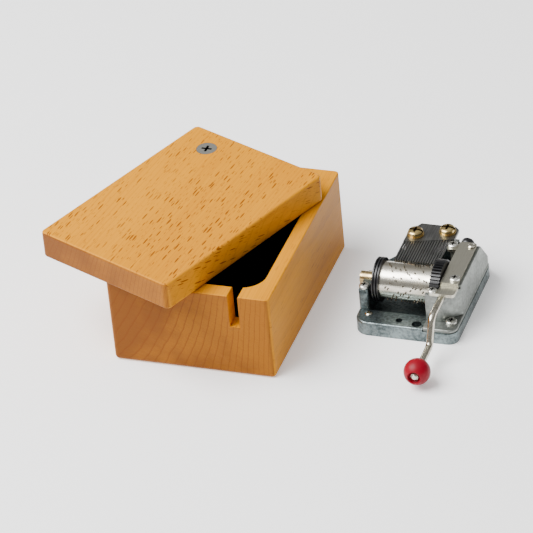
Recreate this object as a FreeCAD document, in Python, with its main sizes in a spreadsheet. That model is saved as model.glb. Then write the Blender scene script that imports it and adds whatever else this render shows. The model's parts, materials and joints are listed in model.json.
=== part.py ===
import FreeCAD, Part
import Sketcher
import math
import os
from FreeCAD import Placement, Rotation, Vector

# Hand-cranked music box: a wooden box with a swinging lid, and the comb movement that goes inside it.
# Frame: +Z up, +X to the right along the box's front, origin at the centre of the box's underside.
# The movement is modelled in its own frame (origin at its base's front left corner) and placed beside the box.

doc = FreeCAD.newDocument("music_box")
sheet = doc.addObject("Spreadsheet::Sheet", "sheet")


# ---------------------------------------------------------------- dimensions

class Dim:
    """A size that carries both its value and the sheet expression that it is bound to."""

    def __init__(self, value, text):
        self.value = float(value)
        self.text = text

    def __add__(self, other):
        other = dim(other)
        return Dim(self.value + other.value, f"({self.text} + {other.text})")

    def __sub__(self, other):
        other = dim(other)
        return Dim(self.value - other.value, f"({self.text} - {other.text})")

    def __mul__(self, other):
        other = dim(other)
        return Dim(self.value * other.value, f"({self.text} * {other.text})")

    def __truediv__(self, other):
        other = dim(other)
        return Dim(self.value / other.value, f"({self.text} / {other.text})")

    def __radd__(self, other):
        return dim(other) + self

    def __rsub__(self, other):
        return dim(other) - self

    def __rmul__(self, other):
        return dim(other) * self

    def __neg__(self):
        return 0 - self


def dim(value):
    return value if isinstance(value, Dim) else Dim(value, f"({float(value):.6f})")


row_of_sheet = 0


def driving(alias, value):
    """Writes a driving dimension to the sheet and returns it."""
    global row_of_sheet
    row_of_sheet += 1
    sheet.set(f"A{row_of_sheet}", alias)
    sheet.set(f"B{row_of_sheet}", str(value))
    sheet.setAlias(f"B{row_of_sheet}", alias)
    return Dim(value, f"sheet.{alias}")


# wooden box
body_width = driving("body_width", 58.0)
body_depth = driving("body_depth", 80.5)
body_height = driving("body_height", 32.0)
side_wall = driving("side_wall", 5.0)
front_wall = driving("front_wall", 6.0)
rear_wall = driving("rear_wall", 16.0)
floor_thick = driving("floor_thick", 7.0)
cavity_corner = driving("cavity_corner", 8.0)
slot_left = driving("slot_left", 43.5)
slot_width = driving("slot_width", 3.6)
slot_bottom = driving("slot_bottom", 19.6)
wood_corner = driving("wood_corner", 1.6)
lid_thick = driving("lid_thick", 10.0)
lid_gap = driving("lid_gap", 0.1)
lid_edge = driving("lid_edge", 0.8)
pivot_left = driving("pivot_left", 13.3)
pivot_front = driving("pivot_front", 70.85)
lid_swing = driving("lid_swing", 22.9)
lid_screw_head = driving("lid_screw_head", 3.6)
lid_screw_shank = driving("lid_screw_shank", 1.7)

# movement: place, base and cylinder
movement_x = driving("movement_x", 48.4)
movement_y = driving("movement_y", -9.7)
base_left = driving("base_left", -1.2)
base_right = driving("base_right", 35.3)
base_depth = driving("base_depth", 46.5)
base_thick = driving("base_thick", 5.2)
rebate = driving("rebate", 1.0)
pocket_floor = driving("pocket_floor", 2.6)
axis_y = driving("axis_y", 16.2)
axis_z = driving("axis_z", 12.5)
sleeve_radius = driving("sleeve_radius", 6.45)
sleeve_left = driving("sleeve_left", 5.6)
sleeve_right = driving("sleeve_right", 24.0)
pin_radius = driving("pin_radius", 0.27)
pin_tip = driving("pin_tip", 7.0)
arbor_radius = driving("arbor_radius", 0.9)
bush_radius = driving("bush_radius", 2.25)
gear_thick = driving("gear_thick", 3.4)

# movement: gear train
gear_module = driving("gear_module", 0.4)
gear_teeth = 44
idler_teeth = 20
worm_pitch_radius = driving("worm_pitch_radius", 1.8)
mesh_play = driving("mesh_play", 0.05)
crank_x = driving("crank_x", 29.1)
crank_z = driving("crank_z", 14.8)
rod_radius = driving("rod_radius", 1.25)
journal_radius = driving("journal_radius", 0.7)
crank_throw = driving("crank_throw", 8.7)
knob_y = driving("knob_y", -24.9)
knob_radius = driving("knob_radius", 4.6)

# movement: comb, housing and cover
comb_left = driving("comb_left", 7.8)
comb_right = driving("comb_right", 24.9)
comb_pitch = driving("comb_pitch", 0.895)
comb_teeth = 18
comb_bottom = driving("comb_bottom", 16.3)
comb_thick = driving("comb_thick", 1.0)
tip_y = driving("tip_y", 22.0)
root_left = driving("root_left", 32.9)
root_right = driving("root_right", 37.4)
tooth_width = driving("tooth_width", 0.56)
comb_back = driving("comb_back", 45.0)
housing_left = driving("housing_left", 23.5)
housing_right = driving("housing_right", 34.9)
housing_front = driving("housing_front", 5.3)
wall = driving("wall", 1.3)
foot_top = driving("foot_top", 5.4)
flange_top = driving("flange_top", 17.2)
cover_top = driving("cover_top", 18.5)
sheet_metal = driving("sheet_metal", 1.1)

doc.recompute()

movement = (movement_x, movement_y, dim(0))
box_corner = (-body_width / 2, -body_depth / 2, dim(0))
base_low = base_thick - rebate
housing_inner = housing_right - wall
blind_end = housing_right - 0.8
bevel_left = dim(29.0)
wall_rear = dim(42.6)
gear_pitch_radius = gear_module * gear_teeth / 2
idler_pitch_radius = gear_module * idler_teeth / 2
idler_z = crank_z - worm_pitch_radius - idler_pitch_radius - mesh_play
gear_distance = gear_pitch_radius + idler_pitch_radius + mesh_play
idler_rise = axis_z.value - idler_z.value
idler_pin_radius = dim(0.8)
idler_y = axis_y + math.sqrt(gear_distance.value ** 2 - idler_rise ** 2)


# ---------------------------------------------------------------- modelling helpers

spot = {}           # where each object stands in its own frame
AXES = {
    "x": Rotation(Vector(0, 1, 0), 90),
    "y": Rotation(Vector(1, 0, 0), -90),
    "z": Rotation(),
}


def bind(obj, prop, value):
    obj.setExpression(prop, dim(value).text)


def stand(obj, corner, rotation=None):
    """Places an object and binds its place to the sheet."""
    corner = tuple(dim(c) for c in corner)
    turn = rotation or Rotation()
    obj.Placement = Placement(Vector(*(c.value for c in corner)), turn)
    for name, value in zip("xyz", corner):
        bind(obj, f"Placement.Base.{name}", value)
    spot[obj.Name] = (corner, turn)
    return obj


def box(name, low, high):
    """A block between two corners."""
    obj = doc.addObject("Part::Box", name)
    for prop, a, b in zip(("Length", "Width", "Height"), low, high):
        bind(obj, prop, dim(b) - dim(a))
    return stand(obj, low)


def rod(name, start, radius, length, axis="z"):
    obj = doc.addObject("Part::Cylinder", name)
    bind(obj, "Radius", radius)
    bind(obj, "Height", length)
    return stand(obj, start, AXES[axis])


def fuse(name, *pieces):
    obj = doc.addObject("Part::MultiFuse", name)
    obj.Shapes = list(pieces)
    obj.Refine = True
    return stand(obj, (0, 0, 0))


def cut(name, base, *tools):
    obj = doc.addObject("Part::Cut", name)
    obj.Base = base
    obj.Tool = tools[0] if len(tools) == 1 else fuse(name + "_tools", *tools)
    return stand(obj, (0, 0, 0))


def group(name, pieces):
    """Separate solids that share one node."""
    obj = doc.addObject("Part::Compound", name)
    obj.Links = list(pieces)
    return stand(obj, (0, 0, 0))


def new_body(name):
    return doc.addObject("PartDesign::Body", name)


def sketch_on(body, plane, lift=0):
    """An empty sketch on one of a body's own origin planes, lifted along the plane's normal."""
    sketch = body.newObject("Sketcher::SketchObject", body.Name + "_sketch")
    support = [f for f in body.Origin.OriginFeatures if f.Role == plane][0]
    sketch.AttachmentSupport = [(support, "")]
    sketch.MapMode = "FlatFace"
    sketch.AttachmentOffset = Placement(Vector(0, 0, dim(lift).value), Rotation())
    bind(sketch, "AttachmentOffset.Base.z", lift)
    return sketch


def outline(sketch, points):
    """A closed polygon whose every corner is held by two bound distances."""
    points = [(dim(a), dim(b)) for a, b in points]
    count = len(points)
    first = sketch.GeometryCount
    for i, (a, b) in enumerate(points):
        c, d = points[(i + 1) % count]
        ends = Vector(a.value, b.value, 0), Vector(c.value, d.value, 0)
        sketch.addGeometry(Part.LineSegment(*ends), False)
    for i in range(count):
        sketch.addConstraint(Sketcher.Constraint("Coincident", first + i, 2, first + (i + 1) % count, 1))
    for i, corner in enumerate(points):
        for kind, value in zip(("DistanceX", "DistanceY"), corner):
            index = sketch.addConstraint(Sketcher.Constraint(kind, -1, 1, first + i, 1, value.value))
            sketch.setExpression(f"Constraints[{index}]", value.text)
    return sketch


def circle(sketch, centre, radius):
    centre = tuple(dim(c) for c in centre)
    radius = dim(radius)
    middle = Vector(centre[0].value, centre[1].value, 0)
    ring = sketch.addGeometry(Part.Circle(middle, Vector(0, 0, 1), radius.value), False)
    index = sketch.addConstraint(Sketcher.Constraint("Radius", ring, radius.value))
    sketch.setExpression(f"Constraints[{index}]", radius.text)
    for kind, value in zip(("DistanceX", "DistanceY"), centre):
        index = sketch.addConstraint(Sketcher.Constraint(kind, -1, 1, ring, 3, value.value))
        sketch.setExpression(f"Constraints[{index}]", value.text)
    return sketch


def feature(body, kind, sketch, **sizes):
    obj = body.newObject(kind, body.Name + "_feature")
    obj.Profile = sketch
    for prop, value in sizes.items():
        bind(obj, prop, value)
    sketch.Visibility = False
    return obj


def pad(body, points, low, high, plane="XY_Plane"):
    """Pads an outline between two heights along the plane's normal."""
    return feature(body, "PartDesign::Pad", outline(sketch_on(body, plane, low), points),
                   Length=dim(high) - dim(low))


def pocket(body, points, top, depth):
    """Cuts an outline downwards from a height."""
    return feature(body, "PartDesign::Pocket", outline(sketch_on(body, "XY_Plane", top), points), Length=depth)


def bore(body, centre, radius, top, depth):
    return feature(body, "PartDesign::Pocket", circle(sketch_on(body, "XY_Plane", top), centre, radius),
                   Length=depth)


def rectangle(low, high):
    return [low, (high[0], low[1]), high, (low[0], high[1])]


def turned(name, profile, place=(0, 0, 0), axis="z"):
    """A solid of revolution from (radius, height) points, set along an axis."""
    body = new_body(name)
    sketch = outline(sketch_on(body, "XZ_Plane"), profile)
    spin = body.newObject("PartDesign::Revolution", name + "_turn")
    spin.Profile = sketch
    spin.ReferenceAxis = (sketch, ["V_Axis"])
    spin.Angle = 360
    return stand(body, place, AXES[axis])


def edges_where(feature_object, wanted):
    """Names of the edges whose middle and direction satisfy a test."""
    names = []
    for i, edge in enumerate(feature_object.Shape.Edges, 1):
        if edge.Degenerated:
            continue
        centre = (edge.FirstParameter + edge.LastParameter) / 2
        if wanted(edge.valueAt(centre), edge.tangentAt(centre)):
            names.append(f"Edge{i}")
    return names


def round_edges(body, radius, wanted):
    """Fillets the edges of a body's tip that satisfy a test."""
    doc.recompute()
    tip = body.Tip
    names = edges_where(tip, wanted)
    if not names:
        raise RuntimeError(f"no edges to round on {body.Name}")
    fillet = body.newObject("PartDesign::Fillet", body.Name + "_round")
    fillet.Base = (tip, names)
    bind(fillet, "Radius", radius)
    return fillet


def upright(x=None, y=None, reach=0.6):
    """A test for vertical edges near a place in plan."""
    def wanted(middle, along):
        near_x = x is None or abs(middle.x - dim(x).value) < reach
        near_y = y is None or abs(middle.y - dim(y).value) < reach
        return abs(along.z) > 0.99 and near_x and near_y
    return wanted


def screw(name, place, head_radius, head_height, shank_radius, length, slots="cross", crown=0.35):
    """A screw with a domed head: its place is the middle of the head's underside."""
    rim = dim(head_height) * (1 - crown)
    body = turned(name, [
        (0, -dim(length)),
        (dim(shank_radius) * 0.5, -dim(length)),
        (shank_radius, -dim(length) + dim(shank_radius) * 0.6),
        (shank_radius, 0),
        (head_radius, 0),
        (head_radius, rim),
        (dim(head_radius) * 0.86, rim + dim(head_height) * crown * 0.55),
        (dim(head_radius) * 0.5, rim + dim(head_height) * crown * 0.92),
        (0, head_height),
    ], place)
    recess(body, head_radius, head_height, slots)
    return body


def recess(body, head_radius, head_height, slots):
    """The driver recess in a screw head: a cross, or a cross with one long bar."""
    bar = dim(head_radius) * 0.6
    half = dim(head_radius) * 0.16
    depth = dim(head_height) * 0.7
    long_bar = dim(head_radius) * 1.1 if slots == "combined" else bar
    pocket(body, rectangle((-long_bar, -half), (long_bar, half)), head_height, depth)
    pocket(body, rectangle((-half, -bar), (half, bar)), head_height, depth)


made = []


def node(label, obj, frame=(0, 0, 0)):
    """Names a finished sub-part and moves it from its own frame into the whole object's."""
    corner, turn = spot[obj.Name]
    stand(obj, tuple(dim(f) + c for f, c in zip(frame, corner)), turn)
    obj.Label = label
    made.append(obj)
    return obj


# ---------------------------------------------------------------- wooden box

pivot = (pivot_left, pivot_front)
mortise_depth = body_height - floor_thick


def make_box_body():
    """The block with its cavity, the crank slot in the front wall and the pilot hole of the lid screw."""
    body = new_body("box_block")
    pad(body, rectangle((0, 0), (body_width, body_depth)), 0, body_height)
    round_edges(body, wood_corner, lambda middle, along: abs(along.z) > 0.99 or middle.z < 0.1)
    cavity_low = (side_wall, front_wall)
    cavity_high = (body_width - side_wall, body_depth - rear_wall)
    pocket(body, rectangle(cavity_low, cavity_high), body_height, mortise_depth)
    inside = (side_wall.value + 0.1, body_width.value - side_wall.value - 0.1)
    round_edges(body, cavity_corner,
                lambda middle, along: abs(along.z) > 0.99 and middle.y > 5.9 and middle.y < 64.6
                and (abs(middle.x - inside[0]) < 0.3 or abs(middle.x - inside[1]) < 0.3))
    pocket(body, rectangle((slot_left, -1), (slot_left + slot_width, front_wall + 2)),
           body_height, body_height - slot_bottom)
    bore(body, pivot, lid_screw_shank, body_height, 16)
    round_edges(body, 0.45, lambda middle, along: abs(middle.z - body_height.value) < 0.01
                and math.hypot(middle.x - pivot_left.value, middle.y - pivot_front.value) > 3)
    node("box_body", stand(body, (0, 0, 0)), box_corner)


def make_lid():
    """The plain board, drawn about its pivot so that it can swing there."""
    body = new_body("lid_board")
    left = -pivot_left
    front = -pivot_front
    pad(body, rectangle((left, front), (left + body_width, front + body_depth)), 0, lid_thick)
    round_edges(body, 2.0, lambda middle, along: abs(along.z) > 0.99)
    round_edges(body, lid_edge, lambda middle, along: abs(along.z) < 0.5)
    sketch = outline(sketch_on(body, "XZ_Plane"), [
        (0, -1),
        (lid_screw_shank + 0.2, -1),
        (lid_screw_shank + 0.2, lid_thick - 2.3),
        (lid_screw_head + 0.1, lid_thick - 0.4),
        (lid_screw_head + 0.1, lid_thick + 1),
        (0, lid_thick + 1),
    ])
    sink = body.newObject("PartDesign::Groove", "lid_countersink")
    sink.Profile = sketch
    sink.ReferenceAxis = (sketch, ["V_Axis"])
    sink.Angle = 360
    corner = (pivot_left, pivot_front, body_height + lid_gap)
    stand(body, corner)
    body.setExpression("Placement.Rotation.Angle", "-sheet.lid_swing")
    spot[body.Name] = (tuple(dim(c) for c in corner), Rotation(Vector(0, 0, 1), -lid_swing.value))
    node("lid", body, box_corner)


def make_lid_screw():
    """The countersunk screw that the lid swings about."""
    seat = body_height + lid_gap + lid_thick
    body = turned("lid_pivot", [
        (0, -20.0),
        (lid_screw_shank * 0.3, -20.0),
        (lid_screw_shank, -17.0),
        (lid_screw_shank, -2.1),
        (lid_screw_head, -0.25),
        (lid_screw_head, 0),
        (0, 0),
    ], (pivot_left, pivot_front, seat))
    half = lid_screw_head * 0.13
    bar = lid_screw_head * 0.52
    pocket(body, rectangle((-bar, -half), (bar, half)), 0, 1.2)
    pocket(body, rectangle((-half, -bar), (half, bar)), 0, 1.2)
    node("lid_screw", body, box_corner)


# ---------------------------------------------------------------- movement base and bearing

block_right = dim(2.6)
block_front = dim(7.2)
block_rear = dim(20.4)
bearing_screw_at = (0.7, 9.3)
housing_screw_at = (32.3, 5.5)
small_screw_radius = dim(0.8)
mount_hole_left = ((14.2, 3.6), dim(1.2))
mount_hole_right = ((20.8, 2.6), dim(1.7))
peg_at = (2.9, 5.4)
peg_radius = dim(1.0)


def make_base():
    """The zinc casting: a plate with rounded corners, a sunk pocket and the left bearing block."""
    body = new_body("base_plate_body")
    pad(body, [
        (base_left, 0),
        (base_right, 0),
        (base_right, base_depth - 3.5),
        (base_right - 4.2, base_depth),
        (base_left + 6.7, base_depth),
        (base_left, base_depth - 9.5),
    ], 0, base_thick)
    round_edges(body, 5.0, upright(base_left, 0))
    round_edges(body, 3.5, upright(base_right, 0))
    round_edges(body, 3.0, lambda middle, along: abs(along.z) > 0.99 and middle.y > 30)
    round_edges(body, 0.7, lambda middle, along: middle.z > base_thick.value - 0.01)
    pocket(body, rectangle((housing_left - 0.1, -1), (base_right + 1, base_depth + 1)), base_thick, rebate)
    pocket(body, rectangle((2.4, 7.7), (28.4, 26.4)), base_thick, base_thick - pocket_floor)
    bore(body, mount_hole_left[0], mount_hole_left[1], base_thick, base_thick)
    bore(body, mount_hole_right[0], mount_hole_right[1], base_thick, base_thick)
    bore(body, peg_at, peg_radius, base_thick, 3)
    bore(body, housing_screw_at, small_screw_radius, base_thick, base_thick - 0.9)
    block = new_body("bearing_block")
    pad(block, rectangle((base_left + 0.2, block_front), (block_right, block_rear)), base_thick - 0.5, axis_z)
    round_edges(block, 1.0, upright(y=block_front))
    casting = fuse("base_casting", stand(body, (0, 0, 0)), stand(block, (0, 0, 0)))
    saddle = rod("bush_saddle", (base_left - 1, axis_y, axis_z), bush_radius, 5, "x")
    hole = rod("bearing_screw_hole", (*bearing_screw_at, axis_z - 5), small_screw_radius, 6)
    node("base_plate", cut("base_cut", casting, saddle, hole), movement)

    peg = turned("peg_body", [
        (0, -3),
        (peg_radius, -3),
        (peg_radius, 0),
        (1.3, 0.1),
        (1.3, 0.35),
        (1.0, 0.6),
        (0.65, 0.6),
        (0.5, -0.6),
        (0, -0.6),
    ], (*peg_at, base_thick))
    node("locating_peg", peg, movement)


def make_left_bearing():
    """The brass bush, the strap that clamps it and the strap's screw."""
    bush_left = base_left - 1.3
    bush = cut("bush_cut",
               rod("bush_outer", (bush_left, axis_y, axis_z), bush_radius, block_right - bush_left, "x"),
               rod("bush_bore", (bush_left - 1, axis_y, axis_z), arbor_radius + 0.08, 8, "x"))
    node("arbor_bush", bush, movement)

    cap = new_body("cap_body")
    strap_top = axis_z + 0.9
    pad(cap, rectangle((block_front + 0.3, axis_z), (axis_y - 0.9, strap_top)),
        base_left + 0.4, block_right - 0.2, "YZ_Plane")
    saddle = rod("cap_saddle", (base_left - 1, axis_y, axis_z), bush_radius, 5, "x")
    hole = rod("cap_hole", (*bearing_screw_at, axis_z - 1), small_screw_radius, 4)
    node("bearing_cap", cut("cap_cut", stand(cap, (0, 0, 0)), saddle, hole), movement)
    node("bearing_cap_screw", screw("cap_screw", (*bearing_screw_at, strap_top), 1.75, 1.3,
                                    small_screw_radius, 4.5), movement)


# ---------------------------------------------------------------- pinned cylinder

PIN_TRACKS = 18


def pin_angles(track):
    """Evenly scattered pin positions round one track; the tune is a made-up pattern."""
    count = 5 + (track * 5) % 4
    lead = 360.0 * ((track * 0.381966) % 1.0)
    return [lead + 360.0 * i / count + 9.0 * math.sin(track * 1.7 + i * 2.3) for i in range(count)]


def make_cylinder():
    """The drum: a tube with a pin for every note, closed by a grooved disc and the driven gear."""
    root = sleeve_radius - 0.55
    pins = []
    for track in range(PIN_TRACKS):
        x = comb_left + comb_pitch * track + tooth_width / 2
        for i, angle in enumerate(pin_angles(track)):
            pin = doc.addObject("Part::Cylinder", f"pin_{track}_{i}")
            bind(pin, "Radius", pin_radius)
            bind(pin, "Height", pin_tip - root)
            turn = Rotation(Vector(1, 0, 0), angle)
            out = turn.multVec(Vector(0, 0, 1))
            stand(pin, (x, axis_y + root * out.y, axis_z + root * out.z), turn)
            pins.append(pin)
    pin_group = group("pins", pins)
    length = sleeve_right - sleeve_left
    tube = cut("sleeve_cut",
               rod("sleeve_outer", (sleeve_left, axis_y, axis_z), sleeve_radius, length, "x"),
               rod("sleeve_bore", (sleeve_left - 1, axis_y, axis_z), root, length + 2, "x"))
    drilled = doc.addObject("Part::Cut", "sleeve_drilled")
    drilled.Base = tube
    drilled.Tool = pin_group
    node("cylinder_sleeve", stand(drilled, (0, 0, 0)), movement)
    loose_pins = group("pin_set", pins)
    node("cylinder_pins", loose_pins, movement)

    plug = root - 0.02
    disc = turned("end_disc", [
        (arbor_radius, -2.45),
        (3.0, -2.45),
        (3.4, -2.1),
        (6.6, -2.1),
        (7.0, -2.45),
        (7.7, -2.3),
        (7.7, -1.85),
        (7.1, -1.65),
        (7.1, -1.45),
        (7.7, -1.3),
        (7.7, -0.85),
        (7.1, -0.65),
        (7.1, -0.45),
        (7.7, -0.3),
        (7.7, 0),
        (plug, 0),
        (plug, 1.6),
        (arbor_radius, 1.6),
    ], (sleeve_left, axis_y, axis_z), "x")
    node("left_end_disc", disc, movement)

    shaft = turned("arbor", [
        (0, 0),
        (arbor_radius - 0.2, 0),
        (arbor_radius, 0.2),
        (arbor_radius, 35.7),
        (0, 35.7),
    ], (base_left - 1.6, axis_y, axis_z), "x")
    node("cylinder_arbor", shaft, movement)


# ---------------------------------------------------------------- gears and worm

TOOTH_TOP = 0.36        # tooth height above and below the pitch circle, and widths, in millimetres
TOOTH_ROOT = 0.46
TOOTH_HALF_TIP = 0.11
TOOTH_HALF_ROOT = 0.26
WORM_CORE_DROP = 0.45
WORM_START = 24.6
WORM_LENGTH = 12.5
WORM_LEAD_IN = 0.35
WORM_TURNS = 9


def make_gear(name, teeth, pitch_radius, thick, bore_radius, phase, place, hub=None):
    """A straight-toothed wheel: a disc, one padded tooth and its polar pattern."""
    body = new_body(name)
    root = pitch_radius - TOOTH_ROOT
    blank = circle(sketch_on(body, "XY_Plane"), (0, 0), root)
    circle(blank, (0, 0), bore_radius)
    feature(body, "PartDesign::Pad", blank, Length=thick)
    tooth = sketch_on(body, "XY_Plane")
    outline(tooth, [
        (root - 0.15, -TOOTH_HALF_ROOT),
        (pitch_radius + TOOTH_TOP, -TOOTH_HALF_TIP),
        (pitch_radius + TOOTH_TOP, TOOTH_HALF_TIP),
        (root - 0.15, TOOTH_HALF_ROOT),
    ])
    one = feature(body, "PartDesign::Pad", tooth, Length=thick)
    doc.recompute()
    pattern = body.newObject("PartDesign::PolarPattern", name + "_teeth")
    pattern.Originals = [one]
    pattern.Axis = (tooth, ["N_Axis"])
    pattern.Angle = 360
    pattern.Occurrences = teeth
    body.Tip = pattern
    if hub:
        ring = circle(sketch_on(body, "XY_Plane", hub[1]), (0, 0), hub[0])
        circle(ring, (0, 0), bore_radius)
        feature(body, "PartDesign::Pad", ring, Length=hub[2])
    turn = AXES["x"].multiply(Rotation(Vector(0, 0, 1), phase))
    stand(body, place, turn)
    return body


def direction(angle):
    """The local turn that points a wheel's first tooth at an angle from +Y towards +Z, seen from +X."""
    first = AXES["x"].multVec(Vector(1, 0, 0))
    start = math.degrees(math.atan2(first.z, first.y))
    side = AXES["x"].multVec(Vector(0, 1, 0))
    sense = 1 if first.y * side.z - first.z * side.y > 0 else -1
    return sense * (angle - start)


def make_train():
    """The driven gear on the cylinder, the idler below the worm, and the idler's pin."""
    up = 90.0
    idler_phase = direction(up + 180.0 / idler_teeth)
    to_idler = math.degrees(math.atan2(idler_z.value - axis_z.value, idler_y.value - axis_y.value))
    from_idler = to_idler + 180.0
    idler_step = 360.0 / idler_teeth
    offset = (from_idler - up - idler_step / 2) / idler_step
    offset -= round(offset)
    gear_step = 360.0 / gear_teeth
    gear_phase = direction(to_idler + gear_step / 2 + offset * gear_step)
    plug = sleeve_radius - 0.57
    driven = make_gear("driven_gear", gear_teeth, gear_pitch_radius, gear_thick, arbor_radius, gear_phase,
                       (sleeve_right, axis_y, axis_z), (plug, -1.5, 1.5))
    node("cylinder_gear", driven, movement)
    wide = housing_inner - 0.4 - (sleeve_right + 0.4)
    idler = make_gear("wide_idler", idler_teeth, idler_pitch_radius, wide, 0.88, idler_phase,
                      (sleeve_right + 0.4, idler_y, idler_z))
    node("idler_gear", idler, movement)
    pin_left = sleeve_right - 0.1
    pin = rod("idler_axle", (pin_left, idler_y, idler_z), idler_pin_radius, blind_end - pin_left, "x")
    node("idler_pin", pin, movement)


def make_worm():
    """The single-start worm pressed on the crank rod."""
    body = new_body("worm_body")
    core = worm_pitch_radius - WORM_CORE_DROP
    pitch = math.pi * gear_module.value
    blank = circle(sketch_on(body, "XY_Plane"), (0, 0), core)
    circle(blank, (0, 0), journal_radius)
    feature(body, "PartDesign::Pad", blank, Length=WORM_LENGTH)
    thread = outline(sketch_on(body, "XZ_Plane"), [
        (core - 0.1, WORM_LEAD_IN),
        (core - 0.1, WORM_LEAD_IN + 2 * TOOTH_HALF_ROOT),
        (worm_pitch_radius + TOOTH_TOP, WORM_LEAD_IN + TOOTH_HALF_ROOT + TOOTH_HALF_TIP),
        (worm_pitch_radius + TOOTH_TOP, WORM_LEAD_IN + TOOTH_HALF_ROOT - TOOTH_HALF_TIP),
    ])
    helix = body.newObject("PartDesign::AdditiveHelix", "worm_thread")
    helix.Profile = thread
    helix.ReferenceAxis = (thread, ["V_Axis"])
    helix.Mode = 0
    helix.Pitch = pitch
    helix.Height = WORM_TURNS * pitch
    helix.Angle = 0
    helix.LeftHanded = True
    # left-handed, so that a clockwise turn of the crank lifts the comb's teeth; rolled so that the
    # thread faces the gap between two teeth of the idler
    thread_y = WORM_START + WORM_LEAD_IN + TOOTH_HALF_ROOT
    turns = (idler_y.value - thread_y) / pitch
    roll = AXES["y"].multiply(Rotation(Vector(0, 0, 1), 90.0 + 360.0 * (turns % 1.0)))
    stand(body, (crank_x, WORM_START, crank_z), roll)
    node("worm", body, movement)


# ---------------------------------------------------------------- crank and knob

UPPER_BEND_Y = -5.5
LOWER_BEND_Y = -10.1
BEND_RADIUS = 2.6
JOURNAL_LENGTH = 15.0


def make_crank():
    """The bent steel rod: the shaft, a slanted throw and the handle that the knob turns on."""
    x = crank_x.value
    high = crank_z.value
    low = high - crank_throw.value
    handle_end = knob_y.value - knob_radius.value + 1.5
    corners = [
        Vector(x, WORM_START, high),
        Vector(x, UPPER_BEND_Y, high),
        Vector(x, LOWER_BEND_Y, low),
        Vector(x, handle_end, low),
    ]
    edges = []
    start = corners[0]
    for before, here, after in zip(corners, corners[1:], corners[2:]):
        back = (before - here).normalize()
        ahead = (after - here).normalize()
        half = back.getAngle(ahead) / 2
        reach = BEND_RADIUS / math.tan(half)
        bisector = (back + ahead).normalize()
        middle = here + bisector * (BEND_RADIUS / math.sin(half) - BEND_RADIUS)
        entry = here + back * reach
        leave = here + ahead * reach
        edges.append(Part.LineSegment(start, entry).toShape())
        edges.append(Part.Arc(entry, middle, leave).toShape())
        start = leave
    edges.append(Part.LineSegment(start, corners[-1]).toShape())
    path = Part.Wire(edges)
    ring = Part.Wire([Part.Circle(corners[0], Vector(0, 1, 0), rod_radius.value).toShape()])
    swept = path.makePipeShell([ring], True, True)
    expected = math.pi * rod_radius.value ** 2 * path.Length
    if abs(swept.Volume - expected) > 0.01 * expected:
        raise RuntimeError("the crank rod's volume is wrong")
    journal = Part.makeCylinder(journal_radius.value, JOURNAL_LENGTH, corners[0], Vector(0, 1, 0))
    bar = doc.addObject("Part::Feature", "crank_bar")
    bar.Shape = swept.fuse(journal).removeSplitter()
    node("crank_rod", stand(bar, (0, 0, 0)), movement)

    collar = cut("collar_cut",
                 rod("collar_outer", (crank_x, 12.2, crank_z), 1.7, 1.6, "y"),
                 rod("collar_bore", (crank_x, 11.0, crank_z), rod_radius, 4, "y"))
    node("shaft_collar", collar, movement)

    well_radius = dim(2.1)
    bead = turned("bead", [
        (rod_radius + 0.1, -knob_radius * 0.94),
        (knob_radius * 0.33, -knob_radius * 0.94),
        (knob_radius * 0.62, -knob_radius * 0.80),
        (knob_radius * 0.85, -knob_radius * 0.56),
        (knob_radius * 0.975, -knob_radius * 0.25),
        (knob_radius, 0),
        (knob_radius * 0.975, knob_radius * 0.25),
        (knob_radius * 0.85, knob_radius * 0.56),
        (knob_radius * 0.62, knob_radius * 0.80),
        (well_radius, knob_radius * 0.91),
        (well_radius, knob_radius - 1.9),
        (rod_radius + 0.1, knob_radius - 1.9),
    ])
    stand(bead, (crank_x, knob_y, crank_z - crank_throw), Rotation(Vector(1, 0, 0), 90))
    node("knob", bead, movement)

    cap = turned("rivet_cap", [(0, 0), (1.15, 0), (1.1, 0.25), (0.8, 0.5), (0.4, 0.6), (0, 0.6)])
    stand(cap, (crank_x, handle_end, crank_z - crank_throw), Rotation(Vector(1, 0, 0), 90))
    node("knob_rivet", cap, movement)


# ---------------------------------------------------------------- comb

comb_screws_at = ((10.9, 37.7), (21.4, 41.3))
comb_screw_radius = dim(1.5)
comb_top = comb_bottom + comb_thick
washer_thick = dim(0.5)
bass_teeth = 10


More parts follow.
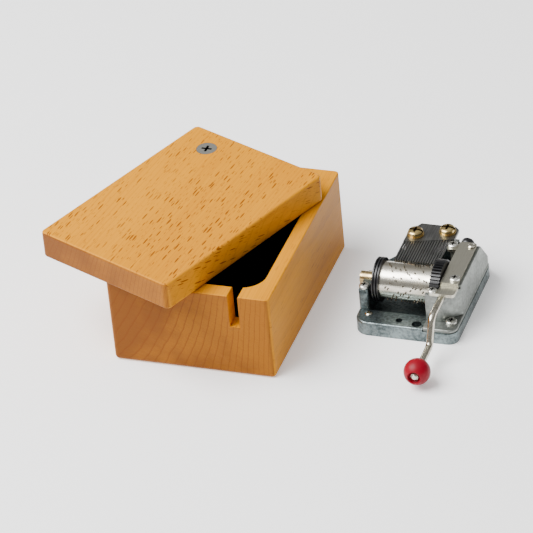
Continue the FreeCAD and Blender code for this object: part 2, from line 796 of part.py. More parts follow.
def make_comb():
    """The steel comb, its seat, weights and dampers, and the two screws with washers."""
    body = new_body("comb_body")
    pad(body, [
        (comb_left, root_left),
        (comb_right, root_right),
        (comb_right, comb_back - 1.5),
        (comb_right - 1.5, comb_back),
        (comb_left + 3.2, comb_back),
        (comb_left, comb_back - 5.5),
    ], comb_bottom, comb_top)
    tooth = pad(body, rectangle((comb_left, tip_y), (comb_left + tooth_width, root_right + 0.4)),
                comb_bottom + 0.25, comb_top - 0.15)
    doc.recompute()
    row = body.newObject("PartDesign::LinearPattern", "comb_row")
    row.Originals = [tooth]
    row.Direction = (tooth.Profile[0], ["H_Axis"])
    bind(row, "Length", comb_pitch * (comb_teeth - 1))
    row.Occurrences = comb_teeth
    body.Tip = row
    for centre in comb_screws_at:
        bore(body, centre, comb_screw_radius + 0.1, comb_top, comb_thick)
    node("comb", stand(body, (0, 0, 0)), movement)

    seat = new_body("comb_seat")
    seat_left = comb_left + 0.6
    seat_right = comb_right - 1.6
    seat_back = comb_back - 0.4
    pad(seat, [
        (seat_left, root_left + 0.8),
        (seat_right, root_right + 0.4),
        (seat_right, seat_back),
        (seat_left, seat_back),
    ], base_thick, comb_bottom)
    for centre in comb_screws_at:
        bore(seat, centre, comb_screw_radius, comb_bottom, 7)
    round_edges(seat, 1.0, lambda middle, along: abs(along.z) > 0.99 and middle.y > 40
                and (middle.x < seat_left.value + 0.1 or middle.x > seat_right.value - 0.1))
    node("comb_bridge", stand(seat, (0, 0, 0)), movement)

    washers = []
    screws = []
    for i, centre in enumerate(comb_screws_at):
        ring = cut(f"washer_{i}",
                   rod(f"washer_outer_{i}", (*centre, comb_top), 3.0, washer_thick),
                   rod(f"washer_hole_{i}", (*centre, comb_top - 1), comb_screw_radius + 0.1, 3))
        washers.append(ring)
        screws.append(screw(f"comb_screw_{i}", (*centre, comb_top + washer_thick), 2.6, 1.9,
                            comb_screw_radius, 7.5, "combined"))
    node("comb_washers", group("washers", washers), movement)
    node("comb_screws", group("tuning_screws", screws), movement)

    weights = []
    dampers = []
    for i in range(bass_teeth):
        x = comb_left + comb_pitch * i
        share = 1 - i / bass_teeth
        weights.append(box(f"weight_{i}", (x + 0.04, 23.5, comb_bottom + 0.25 - 0.9 - 2.0 * share),
                           (x + tooth_width - 0.04, 25.5 + 4.5 * share, comb_bottom + 0.25)))
        dampers.append(box(f"damper_{i}", (x + 0.2, 22.6, comb_bottom - 0.2),
                           (x + 0.45, 23.5, comb_bottom - 0.02)))
    node("comb_weights", group("weights", weights), movement)
    node("comb_dampers", group("dampers", dampers), movement)


# ---------------------------------------------------------------- gear housing and cover

cover_screw_places = (
    (26.1, 32.0, cover_top),
    (32.2, 12.5, cover_top),
    (26.2, 5.95, flange_top),
)
cover_screw_radius = dim(0.55)
cover_peg_at = (32.4, 32.6)
rear_bush_radius = dim(2.4)
step_y = dim(9.9)
cover_rear = dim(35.0)
cover_under = cover_top - sheet_metal
flange_under = flange_top - sheet_metal


def make_housing():
    """The cast shell round the gears: foot, front and right walls, bearing wall and screw posts."""
    foot = new_body("housing_foot")
    pad(foot, [
        (housing_left, 0.5),
        (base_right - 0.2, 0.5),
        (base_right - 0.2, base_depth - 3.8),
        (base_right - 4.2, base_depth - 0.6),
        (25.4, base_depth - 0.6),
        (25.4, 33.0),
        (housing_left, 33.0),
    ], base_low, foot_top)
    round_edges(foot, 3.2, upright(base_right - 0.2, 0.5))
    round_edges(foot, 0.5, lambda middle, along: middle.z > foot_top.value - 0.01 and middle.x > 26)

    shell = new_body("housing_shell")
    pad(shell, [
        (housing_left, housing_front),
        (bevel_left, housing_front),
        (housing_right, housing_front + housing_right - bevel_left),
        (housing_right, wall_rear),
        (housing_inner, wall_rear),
        (housing_inner, 39.6),
        (housing_left, 39.6),
    ], base_low, cover_under)
    round_edges(shell, 1.5, lambda middle, along: abs(along.z) > 0.99 and middle.y < 15 and middle.x > 26)
    outer = fuse("housing_outer", stand(foot, (0, 0, 0)), stand(shell, (0, 0, 0)))

    hollow = new_body("housing_hollow")
    hollow_front = housing_front + wall
    inner_bevel = bevel_left - wall * math.tan(math.radians(22.5))
    pad(hollow, [
        (housing_left - 1, hollow_front),
        (inner_bevel, hollow_front),
        (housing_inner, hollow_front + housing_inner - inner_bevel),
        (housing_inner, 37.6),
        (housing_left - 1, 37.6),
    ], base_low - 1, cover_top)
    lower_front = box("housing_front_cut", (housing_left - 1, 0, flange_under),
                      (base_right + 1, step_y + sheet_metal + 0.1, 30))
    slope = new_body("housing_slope")
    pad(slope, [
        (cover_rear, cover_under + 1),
        (cover_rear, cover_under),
        (45.0, foot_top),
        (48.0, foot_top),
        (48.0, cover_under + 1),
    ], 32.0, base_right + 1, "YZ_Plane")
    tail = box("housing_tail_cut", (housing_left - 1, 37.55, crank_z + 0.2), (32.1, 41.0, 30))
    comb_side = box("housing_comb_cut", (housing_left - 1, 33.0, base_low - 1), (25.3, 48.0, 30))
    empty = cut("housing_empty", outer, stand(hollow, (0, 0, 0)), lower_front, stand(slope, (0, 0, 0)),
                tail, comb_side)

    lug = box("cover_lug", (25.35, 30.6, idler_z + 4.9), (26.7, 37.7, cover_under))
    post = box("cover_post", (25.35, 34.4, base_low), (26.7, 37.7, cover_under))
    screw_lug = box("screw_lug", (31.2, 11.0, crank_z - 1), (housing_inner + 0.1, 14.0, cover_under))
    peg_lug = box("peg_lug", (31.5, 31.3, crank_z - 1), (housing_inner + 0.1, 33.9, cover_under))
    boss = rod("arbor_boss", (31.6, axis_y, axis_z), 2.0, housing_inner - 31.6 + 0.2, "x")
    ear = box("front_lug", (25.3, housing_front, 12.4), (27.2, 6.7, flange_under))
    full = fuse("housing_full", empty, lug, post, screw_lug, peg_lug, boss, ear)

    holes = [
        rod("shaft_bore", (crank_x, 0, crank_z), rod_radius + 0.08, 12, "y"),
        rod("bush_seat", (crank_x, 36, crank_z), rear_bush_radius, 6, "y"),
        rod("arbor_bore", (31.0, axis_y, axis_z), arbor_radius + 0.08, blind_end - 31.0, "x"),
        rod("idler_bore", (31.0, idler_y, idler_z), idler_pin_radius, blind_end - 31.0, "x"),
        rod("foot_hole", (*housing_screw_at, 0), small_screw_radius + 0.05, 8),
        rod("ear_clear", (sleeve_right - 0.3, axis_y, axis_z), gear_pitch_radius + 0.6, gear_thick + 0.6, "x"),
    ]
    for i, (x, y, _) in enumerate(cover_screw_places):
        holes.append(rod(f"cover_thread_{i}", (x, y, flange_under - 3.0), cover_screw_radius, 6))
    cover_peg = rod("peg_hole", (*cover_peg_at, cover_under - 3), 0.8, 3.1)
    node("gear_housing", cut("housing_cut", full, *holes, cover_peg), movement)

    bush = turned("rear_bush_body", [
        (journal_radius + 0.08, 0),
        (rear_bush_radius - 0.3, 0),
        (rear_bush_radius, 0.3),
        (rear_bush_radius, 2.3),
        (rear_bush_radius - 0.5, 2.8),
        (journal_radius + 0.08, 2.8),
    ], (crank_x, 37.3, crank_z), "y")
    node("rear_bush", bush, movement)

    node("housing_screw", screw("foot_screw", (*housing_screw_at, foot_top), 1.9, 1.35,
                                small_screw_radius, 4.4), movement)


def make_cover():
    """The bent nickelled plate over the gears, with its three screws and the peg behind."""
    body = new_body("cover_body")
    left = dim(27.8)
    right = dim(34.0)
    pad(body, [
        (4.9, flange_under),
        (step_y + sheet_metal, flange_under),
        (step_y + sheet_metal, cover_under),
        (cover_rear, cover_under),
        (cover_rear, cover_top),
        (step_y, cover_top),
        (step_y, flange_top),
        (4.9, flange_top),
    ], left, right, "YZ_Plane")
    pad(body, rectangle((24.3, 29.7), (left + 0.5, 33.4)), cover_under, cover_top)
    pad(body, rectangle((24.6, 4.9), (left + 0.5, 7.35)), flange_under, flange_top)
    round_edges(body, 1.2, lambda middle, along: abs(along.z) > 0.99
                and (middle.y > cover_rear.value - 0.1 or middle.y < 5.0 or middle.x < 24.5))
    plate = stand(body, (0, 0, 0))
    holes = [rod(f"cover_hole_{i}", (x, y, z - 4), cover_screw_radius + 0.05, 6)
             for i, (x, y, z) in enumerate(cover_screw_places)]
    holes.append(rod("cover_peg_hole", (*cover_peg_at, cover_under - 1), 0.8, 4))
    node("cover_plate", cut("cover_cut", plate, *holes), movement)

    screws = [screw(f"cover_screw_{i}", place, 1.75 if i < 2 else 1.55, 1.15, cover_screw_radius, 3.6)
              for i, place in enumerate(cover_screw_places)]
    node("cover_screws", group("cover_screw_set", screws), movement)

    peg = turned("cover_peg_body", [(0, -3.9), (0.8, -3.9), (0.8, 0), (1.25, 0.15), (1.25, 0.5), (0.8, 0.8),
                                    (0, 0.8)], (*cover_peg_at, cover_top))
    node("cover_peg", peg, movement)


make_box_body()
make_lid()
make_lid_screw()
make_base()
make_left_bearing()
make_cylinder()
make_train()
make_worm()
make_crank()
make_comb()
make_housing()
make_cover()
doc.recompute()


# ---------------------------------------------------------------- checks and export

for obj in doc.Objects:
    if "Invalid" in obj.State or "Error" in obj.State:
        raise RuntimeError(f"{obj.Name} failed: {obj.State}")

os.makedirs("parts", exist_ok=True)
for obj in made:
    shape = obj.Shape
    if shape.isNull() or not shape.isValid() or not shape.Solids:
        raise RuntimeError(f"{obj.Label} has no valid solid")
    shape.exportStep(f"parts/{obj.Label}.step")
    low = shape.BoundBox
    print(f"{obj.Label:20s} solids {len(shape.Solids):3d} volume {shape.Volume:9.2f}"
          f"  x {low.XMin:7.2f} {low.XMax:7.2f}  y {low.YMin:7.2f} {low.YMax:7.2f}"
          f"  z {low.ZMin:6.2f} {low.ZMax:6.2f}")
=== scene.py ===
"""Looks of the hand-cranked music box: beech box with a swinging lid, and its comb movement beside it."""

import json
import math

import bmesh
import bpy
from mathutils import Matrix, Vector


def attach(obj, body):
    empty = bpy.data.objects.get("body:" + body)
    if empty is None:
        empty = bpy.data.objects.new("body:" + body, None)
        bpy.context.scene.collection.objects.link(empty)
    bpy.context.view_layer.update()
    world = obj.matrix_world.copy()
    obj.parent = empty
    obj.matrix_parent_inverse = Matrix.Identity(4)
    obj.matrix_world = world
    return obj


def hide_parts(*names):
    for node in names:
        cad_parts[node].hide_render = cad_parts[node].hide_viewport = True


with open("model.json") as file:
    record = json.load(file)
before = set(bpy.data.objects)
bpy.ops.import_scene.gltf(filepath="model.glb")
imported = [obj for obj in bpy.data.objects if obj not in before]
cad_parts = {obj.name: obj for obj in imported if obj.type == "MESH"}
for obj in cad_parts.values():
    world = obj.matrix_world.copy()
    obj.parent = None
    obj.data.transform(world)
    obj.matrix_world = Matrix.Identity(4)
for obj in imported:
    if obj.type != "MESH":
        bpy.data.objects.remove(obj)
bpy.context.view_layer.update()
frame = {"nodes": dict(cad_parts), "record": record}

MM = 0.001
JOINTS = frame["record"]["behaviour"]["joints"]
PIVOT = Vector(next(joint for joint in JOINTS if joint["name"] == "lid_swing")["pos_m"])
LID_GRAIN = math.radians(8.8)     # the lid's grain runs a little askew to its own edges


# ---------------------------------------------------------------- node helpers

class Shader:
    """A material under construction: short names for the nodes that the materials below share."""

    def __init__(self, name, turn=0.0, centre=(0, 0, 0)):
        self.material = bpy.data.materials.new(name)
        self.material.use_nodes = True
        self.tree = self.material.node_tree
        self.surface = self.tree.nodes["Principled BSDF"]
        self.coords = self.tree.nodes.new("ShaderNodeTexCoord")
        self.place = self.coords.outputs["Object"]
        if turn or any(centre):
            shift = self.vector_math("SUBTRACT", self.place, tuple(centre))
            spin = self.tree.nodes.new("ShaderNodeVectorRotate")
            spin.rotation_type = "Z_AXIS"
            spin.inputs["Angle"].default_value = turn
            self.link(shift, spin.inputs["Vector"])
            self.place = spin.outputs[0]

    def link(self, source, target):
        if isinstance(source, bpy.types.NodeSocket):
            self.tree.links.new(source, target)
        else:
            target.default_value = source

    def math(self, operation, a, b=0.0):
        node = self.tree.nodes.new("ShaderNodeMath")
        node.operation = operation
        self.link(a, node.inputs[0])
        self.link(b, node.inputs[1])
        return node.outputs[0]

    def vector_math(self, operation, a, b=(0, 0, 0)):
        node = self.tree.nodes.new("ShaderNodeVectorMath")
        node.operation = operation
        self.link(a, node.inputs[0])
        self.link(b, node.inputs[1])
        return node.outputs["Vector"]

    def stretched(self, scale):
        """Object coordinates times a scale per axis, in features per metre."""
        return self.vector_math("MULTIPLY", self.place, scale)

    def noise(self, scale, detail=3.0, rough=0.5, vector=None):
        """Noise with one scale for all axes or one for each, in features per metre."""
        node = self.tree.nodes.new("ShaderNodeTexNoise")
        node.inputs["Detail"].default_value = detail
        node.inputs["Roughness"].default_value = rough
        if vector is None and not isinstance(scale, (int, float)):
            vector = self.stretched(scale)
            scale = 1.0
        self.link(vector if vector is not None else self.place, node.inputs["Vector"])
        node.inputs["Scale"].default_value = scale
        return node.outputs["Fac"]

    def ramp(self, value, low, high):
        """A smooth rise from 0 at the low value to 1 at the high one."""
        node = self.tree.nodes.new("ShaderNodeMapRange")
        node.interpolation_type = "SMOOTHSTEP"
        self.link(value, node.inputs["Value"])
        node.inputs["From Min"].default_value = low
        node.inputs["From Max"].default_value = high
        return node.outputs["Result"]

    def mix(self, factor, a, b):
        node = self.tree.nodes.new("ShaderNodeMix")
        node.data_type = "RGBA"
        self.link(factor, node.inputs["Factor"])
        self.link(a if isinstance(a, bpy.types.NodeSocket) else (*a, 1), node.inputs["A"])
        self.link(b if isinstance(b, bpy.types.NodeSocket) else (*b, 1), node.inputs["B"])
        return node.outputs["Result"]

    def split(self, vector):
        node = self.tree.nodes.new("ShaderNodeSeparateXYZ")
        self.link(vector, node.inputs[0])
        return node.outputs

    def between(self, value, low, high):
        """1 where the value lies between two limits, else 0."""
        above = self.math("GREATER_THAN", value, low)
        return self.math("MULTIPLY", above, self.math("LESS_THAN", value, high))

    def bump(self, height, distance, strength):
        node = self.tree.nodes.new("ShaderNodeBump")
        node.inputs["Distance"].default_value = distance
        node.inputs["Strength"].default_value = strength
        self.link(height, node.inputs["Height"])
        self.tree.links.new(node.outputs[0], self.surface.inputs["Normal"])

    def set(self, **sockets):
        for name, value in sockets.items():
            socket = self.surface.inputs[name.replace("_", " ")]
            if not isinstance(value, bpy.types.NodeSocket) and socket.type == "RGBA":
                value = (*value, 1)
            self.link(value, socket)
        return self


# ---------------------------------------------------------------- materials

WOOD_PALE = (0.60, 0.240, 0.0012)
WOOD_MID = (0.50, 0.182, 0.0010)
WOOD_LINE = (0.15, 0.038, 0.003)
WOOD_FLECK = (0.15, 0.030, 0.001)
# end-grain colours: darker than the long faces, partly for the real end grain and partly as painted shade on
# the faces across the grain
END_GRAIN_AND_SHADE = (0.175, 0.056, 0.006)
END_GRAIN_AND_SHADE_PALE = (0.30, 0.105, 0.006)
WOOD_SPECULAR = 0.10
LINE_RISE = (0.62, 0.955)          # where in each growth ring its dark line comes up
LINE_EDGE = (0.965, 0.998)         # and where it ends again, more sharply

# how strongly the lines, pores and rays darken the wood
SIDE_LINES = 0.16
END_LINES = 0.62
END_PORES = 0.25
END_RAYS = 0.16

# features per metre along X, Y and Z; the grain runs along Y
WANDER = (40, 8, 40)
RIPPLE = (420, 6, 420)
STREAKS = (1300, 18, 1300)
BROAD = (60, 12, 60)
PATCHES = (55, 22, 55)
PORES = (2600, 300, 2600)
CLOUDS = (70, 10, 70)
RAYS_ACROSS = 1500.0
RAYS_PER_RING = 0.7
RAY_SLANT = 0.35
CAVITY_MOTTLE = 2200

# the flecks' spacing across the grain and their cells' length along it
LONG_FLECKS = (0.95 * MM, 6.4 * MM)
SHORT_FLECKS = (0.60 * MM, 3.4 * MM)

# the cavity's bounds, inside which the wood is coloured near-black
CAVITY_X = (-24.1 * MM, 24.1 * MM)
CAVITY_Y = (-34.35 * MM, 24.35 * MM)
CAVITY_Z = (6.9 * MM, 31.45 * MM)
CAVITY_BLACK = (0.003, 0.003, 0.003)
CAVITY_BLACK_PALE = (0.011, 0.010, 0.009)
# the near-black of the painted shade in the screw recesses
RECESS_SHADE = (0.012, 0.011, 0.010)


def polynomial(s, value, factors):
    """The sum of rising powers of a value, from the first power on."""
    total = 0.0
    for factor in reversed(factors):
        total = s.math("MULTIPLY", s.math("ADD", total, factor), value)
    return total


def growth_lines(s, x, z, spacing, lean):
    """Thin late-wood lines: how many there are to a millimetre, and how they lean, both vary with x."""
    wide = s.math("MULTIPLY", x, 1 / MM)
    high = s.math("MULTIPLY", z, 1 / MM)
    across = polynomial(s, wide, spacing)
    leaning = s.math("MULTIPLY", high, s.math("ADD", lean[0], s.math("MULTIPLY", wide, lean[1])))
    wander = s.math("MULTIPLY", s.noise(WANDER, 2.0), 1.5)
    ripple = s.math("MULTIPLY", s.noise(RIPPLE, 2.0), 0.22)
    turns = s.math("ADD", s.math("SUBTRACT", across, leaning), s.math("ADD", wander, ripple))
    phase = s.math("FRACT", turns)
    rise = s.ramp(phase, *LINE_RISE)
    edge = s.math("SUBTRACT", 1.0, s.ramp(phase, *LINE_EDGE))
    sharp = s.math("MULTIPLY", s.math("POWER", rise, 3.0), edge)
    return sharp, turns


def short_flecks(s, pitch, longest, share):
    """Short dark strokes along the grain, of uneven length, one in a given share of the stretched cells."""
    x, y, z = s.split(s.place)
    cell = s.tree.nodes.new("ShaderNodeCombineXYZ")
    s.link(s.math("DIVIDE", s.math("ADD", x, z), pitch), cell.inputs[0])
    s.link(s.math("DIVIDE", y, longest), cell.inputs[1])
    cells = s.tree.nodes.new("ShaderNodeTexVoronoi")
    cells.voronoi_dimensions = "2D"
    cells.inputs["Scale"].default_value = 1.0
    s.link(cell.outputs[0], cells.inputs["Vector"])
    chance = s.split(cells.outputs["Color"])
    reach = s.math("MULTIPLY", s.math("ADD", 0.12, s.math("MULTIPLY", chance[1], 0.20)),
                   s.math("LESS_THAN", chance[0], share))
    inside = s.math("SUBTRACT", reach, cells.outputs["Distance"])
    return s.ramp(inside, -0.02, 0.06)


def beech(name, turn, centre, spacing, lean, flecks, end_paler, blackened_cavity=False):
    """Oiled beech, grain along Y: growth lines, flecks on the long faces, rays and pores on the ends, which
    are coloured darker, partly for the real end grain and partly as painted shade.
    """
    s = Shader(name, turn, centre)
    x, y, z = s.split(s.place)
    line, turns = growth_lines(s, x, z, spacing, lean)

    streaks = s.noise(STREAKS, 3.0, 0.6)
    broad = s.noise(BROAD, 2.0)
    tone = s.math("ADD", s.math("MULTIPLY", streaks, 0.55), s.math("MULTIPLY", broad, 0.55))
    side = s.mix(s.ramp(tone, 0.38, 0.80), WOOD_PALE, WOOD_MID)
    side = s.mix(s.math("MULTIPLY", line, SIDE_LINES), side, WOOD_LINE)
    share, strength = flecks
    patches = s.ramp(s.noise(PATCHES, 2.0), 0.30, 0.62)
    fleck = s.math("MAXIMUM", short_flecks(s, *LONG_FLECKS, share),
                   s.math("MULTIPLY", short_flecks(s, *SHORT_FLECKS, share), 0.5))
    fleck = s.math("MULTIPLY", fleck, s.math("ADD", 0.45, s.math("MULTIPLY", patches, 0.55)))
    side = s.mix(s.math("MULTIPLY", fleck, strength), side, WOOD_FLECK)

    rays = s.tree.nodes.new("ShaderNodeCombineXYZ")
    slanted = s.math("ADD", z, s.math("MULTIPLY", x, RAY_SLANT))
    s.link(s.math("MULTIPLY", slanted, RAYS_ACROSS), rays.inputs[0])
    s.link(s.math("MULTIPLY", turns, RAYS_PER_RING), rays.inputs[1])
    ray = s.ramp(s.noise(1.0, 1.0, vector=rays.outputs[0]), 0.50, 0.70)
    pores = s.noise(PORES, 2.0, 0.7)
    # end faces: darker than the long faces, partly for the real end grain and partly as painted shade; paler
    # towards +x
    cloud = s.math("SUBTRACT", s.noise(CLOUDS, 3.0), s.math("MULTIPLY", x, end_paler / MM))
    end_grain_and_shade = s.mix(s.ramp(cloud, 0.30, 0.75), END_GRAIN_AND_SHADE_PALE, END_GRAIN_AND_SHADE)
    end_grain_and_shade = s.mix(s.math("MULTIPLY", s.ramp(pores, 0.35, 0.7), END_PORES), end_grain_and_shade, WOOD_LINE)
    end_grain_and_shade = s.mix(s.math("MULTIPLY", ray, END_RAYS), end_grain_and_shade, WOOD_LINE)
    end_grain_and_shade = s.mix(s.math("MULTIPLY", line, END_LINES), end_grain_and_shade, WOOD_LINE)

    normal = s.tree.nodes.new("ShaderNodeVectorRotate")
    normal.rotation_type = "Z_AXIS"
    normal.inputs["Angle"].default_value = turn
    s.link(s.coords.outputs["Normal"], normal.inputs["Vector"])
    facing = s.math("ABSOLUTE", s.split(normal.outputs[0])[1])
    colour = s.mix(s.ramp(facing, 0.55, 0.85), side, end_grain_and_shade)
    rough = s.math("ADD", 0.36, s.math("MULTIPLY", pores, 0.16))
    if blackened_cavity:
        # inside the cavity the wood is coloured near-black, with a faint mottle
        inside = s.math("MULTIPLY", s.between(x, *CAVITY_X), s.between(y, *CAVITY_Y))
        inside = s.math("MULTIPLY", inside, s.between(z, *CAVITY_Z))
        cavity_mottle = s.noise(CAVITY_MOTTLE, 3.0, 0.7)
        colour = s.mix(inside, colour, s.mix(cavity_mottle, CAVITY_BLACK, CAVITY_BLACK_PALE))
        rough = s.math("MAXIMUM", rough, s.math("MULTIPLY", inside, 0.95))
    relief = s.math("ADD", s.math("MULTIPLY", pores, 0.4), s.math("MULTIPLY", streaks, 0.3))
    relief = s.math("SUBTRACT", relief, s.math("MULTIPLY", fleck, 0.4))
    s.bump(relief, 0.00010, 0.4)
    s.surface.inputs["Specular IOR Level"].default_value = WOOD_SPECULAR
    s.set(Base_Color=colour, Roughness=rough)
    return s.material


# each screw's place, the height below which its recess is coloured dark as painted shade, and the recess's
# reach, in millimetres
SCREW_RECESSES = (
    (-15.7, 30.6, 41.85, 1.95),
    (59.3, 28.0, 18.90, 2.50),
    (69.8, 31.6, 18.90, 2.50),
    (74.5, 22.3, 19.20, 1.10),
    (80.6, 2.8, 19.20, 1.10),
    (74.6, -3.75, 17.90, 1.00),
    (80.7, -4.2, 6.20, 1.20),
    (49.1, -0.4, 14.15, 1.10),
)


def recess_shade(s):
    """Painted shade: 1 down in the driver recess of a screw, 0 elsewhere."""
    x, y, z = s.split(s.place)
    shade = 0.0
    for place_x, place_y, height, reach in SCREW_RECESSES:
        aside = s.math("SUBTRACT", x, place_x * MM)
        along = s.math("SUBTRACT", y, place_y * MM)
        squares = s.math("ADD", s.math("MULTIPLY", aside, aside), s.math("MULTIPLY", along, along))
        distance = s.math("SQRT", squares)
        near = s.math("LESS_THAN", distance, reach * MM)
        low = s.math("LESS_THAN", z, height * MM)
        shade = s.math("MAXIMUM", shade, s.math("MULTIPLY", near, low))
    return shade


def metal(name, light, dark, rough, grain=900.0, relief=0.00002, scale=(1, 1, 1), painted_recess_shade=False):
    """Metal whose colour and roughness vary with a broad noise and a fine one, drawn out by its scale."""
    s = Shader(name)
    fine = s.noise(tuple(grain * k for k in scale), 4.0, 0.6)
    broad = s.noise(120, 3.0)
    blend = s.math("ADD", s.math("MULTIPLY", fine, 0.6), s.math("MULTIPLY", broad, 0.5))
    colour = s.mix(s.ramp(blend, 0.35, 0.75), light, dark)
    uneven = s.math("ADD", rough, s.math("MULTIPLY", s.ramp(blend, 0.3, 0.8), 0.15))
    # painted shade: the screws' driver recesses coloured near-black, as if shade fell in them
    if painted_recess_shade:
        shade = recess_shade(s)
        colour = s.mix(shade, colour, RECESS_SHADE)
        uneven = s.math("MAXIMUM", uneven, s.math("MULTIPLY", shade, 0.7))
    s.bump(fine, relief, 0.8)
    s.set(Base_Color=colour, Metallic=1.0, Roughness=uneven)
    return s.material


def plastic(name, light, dark, rough, grain=700.0, relief=0.00001, gloss=0.5):
    """Moulded plastic with a faint mottle and orange peel."""
    s = Shader(name)
    peel = s.noise(grain, 2.0)
    colour = s.mix(s.ramp(s.noise(160, 3.0), 0.3, 0.7), light, dark)
    s.bump(peel, relief, 0.6)
    s.set(Base_Color=colour, Roughness=s.math("ADD", rough, s.math("MULTIPLY", peel, 0.12)))
    s.surface.inputs["Specular IOR Level"].default_value = gloss
    return s.material


# growth lines to a millimetre and their lean, each as factors of rising powers of x in millimetres
BOX_LINES = (0.29, 0.0032, 0.00005)
BOX_LEAN = (0.12, -0.0026)
LID_LINES = (0.55, 0.002)
LID_LEAN = (0.20, -0.001)

# the share of cells that have a fleck, and how dark it is
BOX_FLECKS = (0.18, 0.35)
LID_FLECKS = (0.34, 0.90)

box_wood = beech("box_beech", 0.0, (0, 0, 0), BOX_LINES, BOX_LEAN, BOX_FLECKS, 0.010, blackened_cavity=True)
lid_wood = beech("lid_beech", LID_GRAIN, PIVOT, LID_LINES, LID_LEAN, LID_FLECKS, 0.012)
zinc = metal("zinc_casting", (0.22, 0.265, 0.27), (0.055, 0.070, 0.072), 0.33, 1100, 0.00016)
casting = metal("housing_casting", (0.30, 0.32, 0.30), (0.18, 0.19, 0.18), 0.42, 900, 0.00004)
nickel = metal("nickel", (0.74, 0.71, 0.61), (0.42, 0.39, 0.32), 0.13, 700, 0.00001)
screw_nickel = metal("screw_nickel", (0.86, 0.86, 0.80), (0.60, 0.60, 0.54), 0.22, 700, painted_recess_shade=True)
sleeve_nickel = metal("sleeve_nickel", (0.80, 0.77, 0.68), (0.46, 0.42, 0.33), 0.15, 600, 0.00003,
                      scale=(0.2, 1, 1))
cover_nickel = metal("cover_nickel", (0.66, 0.645, 0.54), (0.46, 0.44, 0.365), 0.26, 1500, 0.00001,
                     scale=(1, 0.08, 1))
comb_steel = metal("comb_steel", (0.27, 0.27, 0.262), (0.10, 0.10, 0.097), 0.30, 1600, 0.00002,
                   scale=(1, 0.06, 1))
pin_steel = metal("pin_steel", (0.16, 0.14, 0.11), (0.05, 0.045, 0.035), 0.40)
yellow_zinc = metal("yellow_zinc", (0.74, 0.60, 0.26), (0.40, 0.26, 0.12), 0.18, 500, painted_recess_shade=True)
brass = metal("turned_brass", (0.62, 0.47, 0.24), (0.24, 0.17, 0.08), 0.16, 900, 0.00001, (1, 0.2, 0.2))
lead = metal("lead", (0.14, 0.145, 0.16), (0.07, 0.07, 0.08), 0.6, 800, 0.00004)
black = plastic("black_plastic", (0.010, 0.010, 0.011), (0.004, 0.004, 0.005), 0.30)
ivory = plastic("ivory_plastic", (0.60, 0.55, 0.44), (0.50, 0.46, 0.36), 0.36)
red = plastic("red_plastic", (0.24, 0.0, 0.010), (0.19, 0.0, 0.008), 0.34, 500, 0.00001, gloss=0.18)

MATERIAL_OF_NODE = {
    "box_body": box_wood,
    "lid": lid_wood,
    "lid_screw": screw_nickel,
    "cover_screws": screw_nickel,
    "housing_screw": screw_nickel,
    "bearing_cap_screw": screw_nickel,
    "base_plate": zinc,
    "comb_bridge": zinc,
    "bearing_cap": zinc,
    "gear_housing": casting,
    "cylinder_sleeve": sleeve_nickel,
    "cylinder_pins": pin_steel,
    "cylinder_arbor": comb_steel,
    "idler_pin": comb_steel,
    "shaft_collar": comb_steel,
    "comb": comb_steel,
    "cover_plate": cover_nickel,
    "comb_screws": yellow_zinc,
    "comb_washers": yellow_zinc,
    "arbor_bush": brass,
    "comb_weights": lead,
    "left_end_disc": black,
    "cylinder_gear": black,
    "worm": black,
    "rear_bush": black,
    "comb_dampers": black,
    "idler_gear": ivory,
    "knob": red,
}

for name, node in frame["nodes"].items():
    node.data.materials.clear()
    node.data.materials.append(MATERIAL_OF_NODE.get(name, nickel))


# ---------------------------------------------------------------- the smooth knob in place of the faceted one

LATHE_STEPS = 96


def lathe(name, outline, place, axis, material, body, replaced):
    """A smooth closed turning of (radius, height) points in millimetres, in place of a CAD node."""
    mesh = bpy.data.meshes.new(name)
    turning = bmesh.new()
    rings = []
    for radius, height in outline:
        angles = (2 * math.pi * i / LATHE_STEPS for i in range(LATHE_STEPS))
        rings.append([turning.verts.new(Vector((radius * math.cos(a), radius * math.sin(a), height)) * MM)
                      for a in angles])
    for lower, upper in zip(rings, rings[1:] + rings[:1]):
        for i in range(LATHE_STEPS):
            j = (i + 1) % LATHE_STEPS
            turning.faces.new((lower[i], lower[j], upper[j], upper[i])).smooth = True
    bmesh.ops.recalc_face_normals(turning, faces=turning.faces)
    turning.to_mesh(mesh)
    turning.free()
    mesh.materials.append(material)
    piece = bpy.data.objects.new(name, mesh)
    turn = axis.to_track_quat("Z", "Y").to_matrix().to_4x4()
    piece.matrix_world = Matrix.Translation(place * MM) @ turn
    bpy.context.collection.objects.link(piece)
    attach(piece, body)
    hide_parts(replaced)


KNOB_PLACE = Vector((77.5, -34.6, 6.1))


def make_knob():
    """The red bead: nearly a sphere, with a rounded counterbore in front where the rod's end shows."""
    ball, hole, well = 4.6, 1.35, 2.1
    curve = [math.radians(-70 + 4 * i) for i in range(33)]
    outline = [(hole, -4.2), (hole + 0.15, -4.36)]
    outline += [(ball * math.cos(a), ball * math.sin(a)) for a in curve]
    outline += [(2.36, 3.93), (2.24, 3.88), (2.14, 3.76), (well, 3.6), (well, 2.75), (hole, 2.7)]
    lathe("smooth_knob", outline, KNOB_PLACE, Vector((0, -1, 0)), red, "knob", "knob")


make_knob()


# ---------------------------------------------------------------- floor, lights, camera

FLOOR_GLOW = 0.35
FLOOR_HALF = 3.0
FLOOR_PALE = (0.93, 0.93, 0.93)
FLOOR_GREY = (0.90, 0.90, 0.90)


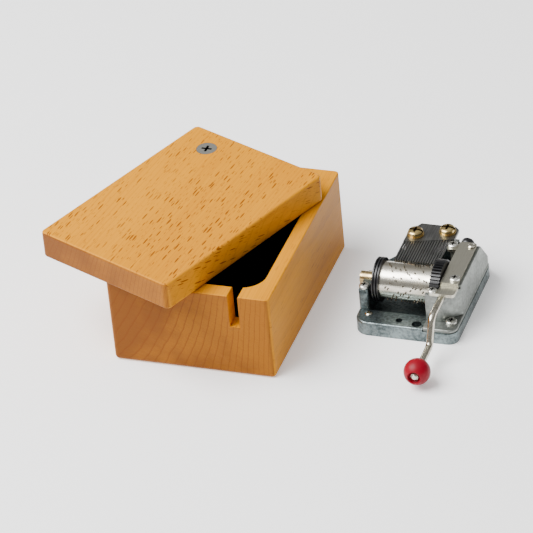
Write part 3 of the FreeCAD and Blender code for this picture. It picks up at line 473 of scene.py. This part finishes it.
def make_floor():
    """A plain pale floor, which gives off a little light of its own."""
    s = Shader("floor")
    white = s.mix(s.noise(3.0, 2.0), FLOOR_PALE, FLOOR_GREY)
    s.set(Base_Color=white, Roughness=0.85, Emission_Color=white, Emission_Strength=FLOOR_GLOW)
    mesh = bpy.data.meshes.new("floor")
    corners = [(x * FLOOR_HALF, y * FLOOR_HALF, 0) for x, y in ((-1, -1), (1, -1), (1, 1), (-1, 1))]
    mesh.from_pydata(corners, [], [(0, 1, 2, 3)])
    mesh.materials.append(s.material)
    floor = bpy.data.objects.new("floor", mesh)
    bpy.context.collection.objects.link(floor)


KEY_PLACE = Vector((-0.50, -0.32, 0.90))
KEY_AIM = Vector((0.02, 0.0, 0.02))
KEY_SIZE = (0.9, 0.8)
KEY_POWER = 34


def make_key_light():
    """One large soft light, high on the left and in front."""
    data = bpy.data.lights.new("key", "AREA")
    data.shape = "RECTANGLE"
    data.size, data.size_y = KEY_SIZE
    data.energy = KEY_POWER
    lamp = bpy.data.objects.new("key", data)
    lamp.location = KEY_PLACE
    lamp.rotation_euler = (KEY_AIM - KEY_PLACE).to_track_quat("-Z", "Y").to_euler()
    bpy.context.collection.objects.link(lamp)


SKY_LEVELS = ((0.0, 0.28), (1.0, 0.45), (0.7, 0.34))     # height, from the horizon up, and grey level
SKY_TINT = (1, 0.985, 0.96)


def make_world():
    """A dim grey studio surround, a little paler overhead than at the horizon."""
    world = bpy.data.worlds.new("studio")
    world.use_nodes = True
    bpy.context.scene.world = world
    tree = world.node_tree
    coords = tree.nodes.new("ShaderNodeTexCoord")
    split = tree.nodes.new("ShaderNodeSeparateXYZ")
    ramp = tree.nodes.new("ShaderNodeValToRGB")
    tree.links.new(coords.outputs["Generated"], split.inputs[0])
    tree.links.new(split.outputs["Z"], ramp.inputs["Fac"])
    tree.links.new(ramp.outputs["Color"], tree.nodes["Background"].inputs["Color"])
    stops = ramp.color_ramp.elements
    for stop, (height, level) in zip((stops[0], stops[1], stops.new(0.5)), SKY_LEVELS):
        stop.position = height
        stop.color = (*(level * share for share in SKY_TINT), 1)


CAMERA_AIM = Vector((14.06, 0.01, 16.89)) * MM
CAMERA_AZIMUTH = math.radians(21.35)
CAMERA_ELEVATION = math.radians(34.14)
CAMERA_ROLL = math.radians(-5.79)
CAMERA_DISTANCE = 1.447
CAMERA_LENS = 284.6
SENSOR_WIDTH = 36


def make_camera():
    """A long lens from the front right and above, rolled a little."""
    back = Vector((math.sin(CAMERA_AZIMUTH) * math.cos(CAMERA_ELEVATION),
                   -math.cos(CAMERA_AZIMUTH) * math.cos(CAMERA_ELEVATION),
                   math.sin(CAMERA_ELEVATION)))
    level = Vector((math.cos(CAMERA_AZIMUTH), math.sin(CAMERA_AZIMUTH), 0))
    right = level * math.cos(CAMERA_ROLL) + back.cross(level) * math.sin(CAMERA_ROLL)
    axes = Matrix((right, back.cross(right), back)).transposed()
    data = bpy.data.cameras.new("camera")
    data.lens = CAMERA_LENS
    data.sensor_width = SENSOR_WIDTH
    data.clip_start = 0.05
    camera = bpy.data.objects.new("camera", data)
    camera.matrix_world = Matrix.Translation(CAMERA_AIM + CAMERA_DISTANCE * back) @ axes.to_4x4()
    bpy.context.collection.objects.link(camera)
    bpy.context.scene.camera = camera


make_floor()
make_world()
make_key_light()
make_camera()
